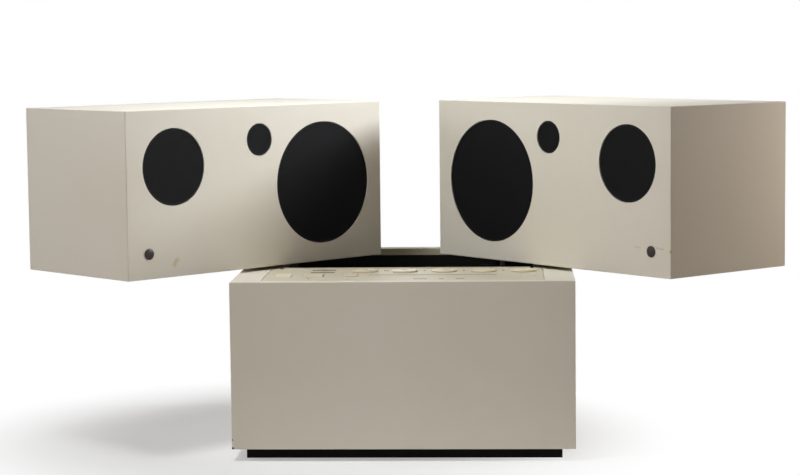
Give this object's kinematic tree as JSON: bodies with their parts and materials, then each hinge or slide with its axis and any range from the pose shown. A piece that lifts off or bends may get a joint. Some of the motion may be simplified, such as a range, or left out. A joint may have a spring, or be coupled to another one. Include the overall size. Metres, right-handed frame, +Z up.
{
  "type": "radiogram",
  "caption": "Cube-shaped radiogram: low ivory cabinet with control panel and sunken record deck, topped by swivelling box loudspeakers.",
  "frame": {"origin": "on the floor under the middle of the base cabinet", "axes": "+X right, +Y to the rear, +Z up, seen from the front"},
  "size_m": [1.1578, 0.5451, 0.5228],
  "materials": {
    "ivory_lacquer": "satin warm ivory lacquer with crisp eased edges",
    "bare_board": "unfinished hardboard",
    "black_wood": "matt black paint",
    "black_metal": "matt black enamel",
    "ivory_metal": "satin ivory enamel on sheet aluminium",
    "ivory_plastic": "satin moulded ivory plastic",
    "black_plastic": "fine textured black plastic",
    "dial_card": "printed pale scale",
    "clear_window": "clear acrylic",
    "red_pointer": "painted red",
    "black_rubber": "matt black rubber",
    "brown_rubber": "dark brown rubber",
    "brass_bush": "turned brass",
    "pin_steel": "ground steel",
    "black_steel": "blackened steel",
    "zinc": "zinc plated steel",
    "core_iron": "varnished laminations",
    "circuit_board": "brown green laminate",
    "bare_aluminium": "turned aluminium",
    "arm_metal": "satin black anodised aluminium",
    "black_grille": "fine black grille cloth",
    "driver_black": "coated paper cone and black frame"
  },
  "bodies": {
    "base": {"base_cabinet": "ivory_lacquer", "bottom_board": "bare_board", "plinth": "black_wood", "socket_panel": "black_metal", "pivot_bushes": "brass_bush", "top_panel": "ivory_metal", "control_pots": "zinc", "key_switches": "black_plastic", "dial_tray": "dial_card", "dial_windows": "clear_window", "meter_case": "black_plastic", "well_liner": "black_plastic", "deck_plate": "black_metal", "deck_mounts": "black_rubber", "platter_bearing": "brass_bush", "drive_motor": "zinc", "drive_belt": "black_rubber", "arm_base": "black_metal", "arm_rest": "black_plastic", "power_transformer": "core_iron", "amplifier_board": "circuit_board", "heat_sink": "bare_aluminium", "control_board": "circuit_board"},
    "left_speaker": {"left_cabinet": "ivory_lacquer", "left_baffle": "ivory_lacquer", "left_grilles": "black_grille", "left_bumper": "brown_rubber", "left_pivot_pin": "black_steel", "left_woofer": "driver_black", "left_midrange": "driver_black", "left_tweeter": "driver_black"},
    "right_speaker": {"right_cabinet": "ivory_lacquer", "right_baffle": "ivory_lacquer", "right_grilles": "black_grille", "right_bumper": "brown_rubber", "right_pivot_pin": "black_steel", "right_woofer": "driver_black", "right_midrange": "driver_black", "right_tweeter": "driver_black"},
    "turntable": {"platter": "bare_aluminium", "platter_mat": "black_rubber"},
    "pulley": {"motor_pulley": "brass_bush"},
    "arm_fork": {"arm_yoke": "arm_metal"},
    "tonearm": {"arm_tube": "arm_metal", "headshell": "black_plastic", "counterweight": "arm_metal"},
    "arm_lifter": {"lift_bar": "black_plastic"},
    "cue": {"cue_lever": "black_plastic"},
    "speed_selector": {"speed_knob": "black_plastic"},
    "tuning": {"tuning_knob": "ivory_plastic"},
    "volume": {"volume_knob": "ivory_plastic"},
    "balance": {"balance_knob": "ivory_plastic"},
    "bass": {"bass_knob": "ivory_plastic"},
    "treble": {"treble_knob": "ivory_plastic"},
    "play": {"play_key": "ivory_plastic"},
    "band": {"band_key": "ivory_plastic"},
    "mono": {"mono_key": "ivory_plastic"},
    "power": {"power_rocker": "ivory_plastic"},
    "pointer": {"dial_pointer": "red_pointer"},
    "needle": {"meter_needle": "red_pointer"}
  },
  "joints": [
    {"name": "left_swivel", "type": "hinge", "parent": "base", "child": "left_speaker", "pos_m": [-0.241, 0.227, 0.268], "axis": [0, 0, -1], "range_deg": [-43.3, 46.7]},
    {"name": "right_swivel", "type": "hinge", "parent": "base", "child": "right_speaker", "pos_m": [0.241, 0.227, 0.268], "axis": [0, 0, 1], "range_deg": [-42.5, 47.5]},
    {"name": "platter_spin", "type": "hinge", "parent": "base", "child": "turntable", "pos_m": [-0.038, 0.073, 0.231], "axis": [0, 0, -1], "continuous": true},
    {"name": "pulley_spin", "type": "hinge", "parent": "base", "child": "pulley", "pos_m": [-0.10871, 0.14371, 0.213], "axis": [0, 0, -1], "continuous": true},
    {"name": "arm_swing", "type": "hinge", "parent": "base", "child": "arm_fork", "pos_m": [0.148, 0.175, 0.2542], "axis": [0, 0, -1], "range_deg": [0, 49]},
    {"name": "arm_raise", "type": "hinge", "parent": "arm_fork", "child": "tonearm", "pos_m": [0.148, 0.175, 0.2542], "axis": [-1, 0, 0], "range_deg": [0, 2.4]},
    {"name": "lift_rise", "type": "slide", "parent": "base", "child": "arm_lifter", "axis": [0, 0, 1], "range_m": [0, 0.0018]},
    {"name": "cue_turn", "type": "hinge", "parent": "base", "child": "cue", "pos_m": [0.176, 0.149, 0.223], "axis": [-1, 0, 0], "range_deg": [0, 55]},
    {"name": "speed_turn", "type": "hinge", "parent": "base", "child": "speed_selector", "pos_m": [-0.174, -0.058, 0.209], "axis": [0, 0, 1], "range_deg": [0, 60]},
    {"name": "tuning_turn", "type": "hinge", "parent": "base", "child": "tuning", "pos_m": [-0.062, -0.122, 0.268], "axis": [0, 0, -1], "range_deg": [-1080, 1080]},
    {"name": "volume_turn", "type": "hinge", "parent": "base", "child": "volume", "pos_m": [-0.0015, -0.122, 0.268], "axis": [0, 0, -1], "range_deg": [0, 290]},
    {"name": "balance_turn", "type": "hinge", "parent": "base", "child": "balance", "pos_m": [0.059, -0.122, 0.268], "axis": [0, 0, -1], "range_deg": [-140, 140]},
    {"name": "bass_turn", "type": "hinge", "parent": "base", "child": "bass", "pos_m": [0.1195, -0.122, 0.268], "axis": [0, 0, -1], "range_deg": [-140, 140]},
    {"name": "treble_turn", "type": "hinge", "parent": "base", "child": "treble", "pos_m": [0.18, -0.122, 0.268], "axis": [0, 0, -1], "range_deg": [-140, 140]},
    {"name": "play_press", "type": "slide", "parent": "base", "child": "play", "axis": [0, 0, -1], "range_m": [0, 0.002], "stiffness_N_per_m": 400},
    {"name": "band_press", "type": "slide", "parent": "base", "child": "band", "axis": [0, 0, -1], "range_m": [0, 0.002], "stiffness_N_per_m": 400},
    {"name": "mono_press", "type": "slide", "parent": "base", "child": "mono", "axis": [0, 0, -1], "range_m": [0, 0.002], "stiffness_N_per_m": 400},
    {"name": "power_rock", "type": "hinge", "parent": "base", "child": "power", "pos_m": [-0.182, -0.178, 0.263], "axis": [-1, 0, 0], "range_deg": [0, 12]},
    {"name": "pointer_slide", "type": "slide", "parent": "base", "child": "pointer", "axis": [1, 0, 0], "range_m": [-0.08, 0.08]},
    {"name": "needle_turn", "type": "hinge", "parent": "base", "child": "needle", "pos_m": [-0.1265, -0.131, 0.249], "axis": [0, 0, -1], "range_deg": [0, 56]}
  ],
  "couplings": [
    {"joint": "pulley_spin", "follows": "platter_spin", "ratio": 11.667},
    {"joint": "pointer_slide", "follows": "tuning_turn", "m_per_rad": 0.0042441},
    {"joint": "lift_rise", "follows": "cue_turn", "m_per_rad": 0.0018751},
    {"joint": "arm_raise", "follows": "cue_turn", "ratio": 0.043636}
  ]
}
